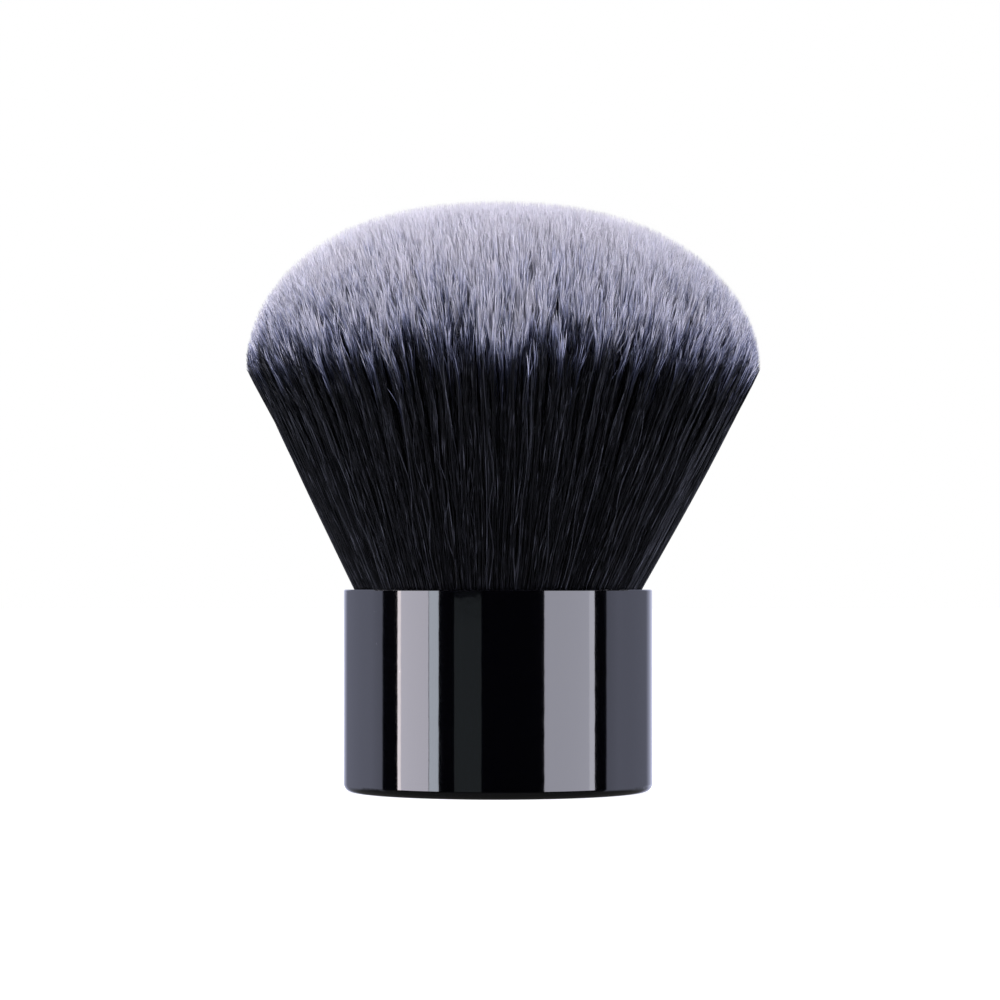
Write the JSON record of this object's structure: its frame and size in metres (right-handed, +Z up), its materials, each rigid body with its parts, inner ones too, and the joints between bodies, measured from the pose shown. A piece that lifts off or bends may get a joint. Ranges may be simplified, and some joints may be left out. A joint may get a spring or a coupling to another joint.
{
  "type": "kabuki make-up brush",
  "caption": "Short round kabuki make-up brush with a gloss black handle and a dense domed head of blue-black hair with pale lavender-grey tips.",
  "frame": {"origin": "centre of the handle's flat base, on the surface it stands on", "axes": "+Z up the brush from the base to the top of the hair; -Y is the front; the brush is round about Z"},
  "size_m": [0.0599, 0.0597, 0.0689],
  "materials": {
    "black_lacquer": "gloss black lacquer over drawn aluminium",
    "moulded_plastic": "moulded",
    "adhesive": "cured epoxy adhesive",
    "ballast_steel": "blanked, bare",
    "plain_aluminium": "drawn, bare",
    "root_resin": "cured resin",
    "thread": "twisted thread",
    "pale_hair": "synthetic filament, pale tips",
    "mid_hair": "synthetic filament, where dark turns to pale",
    "dark_hair": "synthetic filament, blue-black"
  },
  "bodies": {
    "root": {"handle_shell": "black_lacquer", "handle_core": "moulded_plastic", "core_adhesive": "adhesive", "ballast_disc": "ballast_steel", "hair_cup": "plain_aluminium", "cup_adhesive": "adhesive", "root_resin": "root_resin", "binding_thread": "thread", "crown_bristles": "pale_hair", "dome_bristles": "pale_hair", "shoulder_bristles": "mid_hair", "side_bristles": "dark_hair"}
  },
  "joints": []
}
